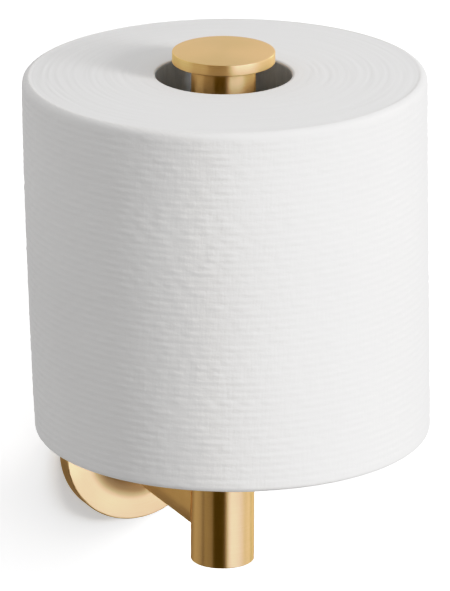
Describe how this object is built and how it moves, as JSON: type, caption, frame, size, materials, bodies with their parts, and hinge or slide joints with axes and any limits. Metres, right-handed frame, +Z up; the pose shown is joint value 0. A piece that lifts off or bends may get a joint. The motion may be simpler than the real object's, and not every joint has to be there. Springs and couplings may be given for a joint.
{
  "type": "toilet paper holder",
  "caption": "Wall-mounted upright toilet paper holder in brushed brass: round wall plate, short arm and vertical post with a disc cap, with a paper roll that turns and lifts off.",
  "frame": {"origin": "centre of the wall bracket's flat back face, on the wall's surface", "axes": "+Z up, +Y into the wall, so the arm runs out along -Y; +X to the right for someone facing the wall"},
  "size_m": [0.125, 0.1644, 0.1759],
  "materials": {
    "brushed_brass": "satin",
    "plain_brass": "satin",
    "zinc_steel": "satin",
    "grey_nylon": "satin",
    "white_acetal": "satin",
    "grey_cardboard": "matte",
    "tissue_paper": "matte"
  },
  "bodies": {
    "holder": {"wall_bracket": "zinc_steel", "wall_screw_left": "zinc_steel", "wall_screw_right": "zinc_steel", "wall_anchor_left": "grey_nylon", "wall_anchor_right": "grey_nylon", "flange": "brushed_brass", "flange_set_screw": "zinc_steel", "arm": "brushed_brass", "arm_screw": "zinc_steel", "arm_lock_washer": "zinc_steel", "arm_stud": "zinc_steel", "post": "brushed_brass", "post_foot": "plain_brass", "post_top_insert": "plain_brass", "cap": "brushed_brass", "cap_stud": "zinc_steel", "roll_rest": "brushed_brass", "rest_set_screw": "zinc_steel"},
    "turning_ring": {"glide_ring": "white_acetal"},
    "roll": {"cardboard_core": "grey_cardboard", "paper_roll": "tissue_paper"}
  },
  "joints": [
    {"name": "roll_spin", "type": "hinge", "parent": "holder", "child": "turning_ring", "pos_m": [0, -0.072, 0.026], "axis": [0, 0, 1], "continuous": true},
    {"name": "roll_lift", "type": "slide", "parent": "turning_ring", "child": "roll", "axis": [0, 0, 1], "range_m": [0, 0.13]}
  ]
}
